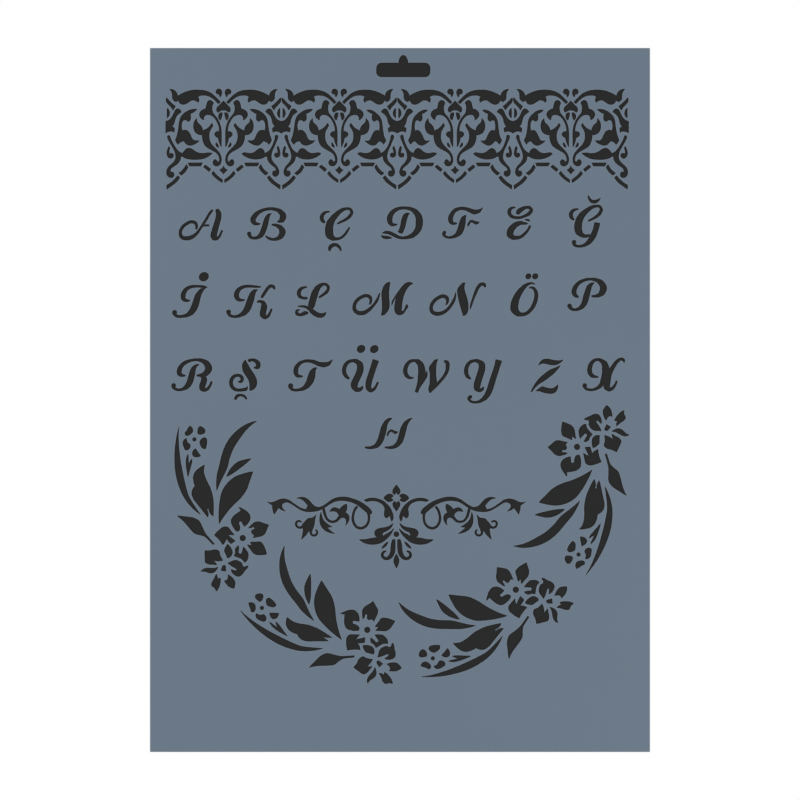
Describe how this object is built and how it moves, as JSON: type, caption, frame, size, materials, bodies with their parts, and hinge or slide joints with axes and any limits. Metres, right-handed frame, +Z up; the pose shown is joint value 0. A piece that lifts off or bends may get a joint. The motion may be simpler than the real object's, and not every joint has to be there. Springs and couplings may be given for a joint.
{
  "type": "drawing stencil",
  "caption": "Thin flat plastic stencil sheet with cut-out letters, a scroll border, flower sprays and a slot to hang it by.",
  "frame": {"origin": "middle of the sheet's underside, on the surface it lies on", "axes": "+Z up out of the sheet's face, +Y along its long side towards the hang slot, +X to the right as the letters are read"},
  "size_m": [0.25, 0.352, 0.0004],
  "materials": {
    "sheet": "satin blue-grey polyester or PVC film, laser-cut edges"
  },
  "bodies": {
    "root": {"stencil_sheet": "sheet"}
  },
  "joints": []
}
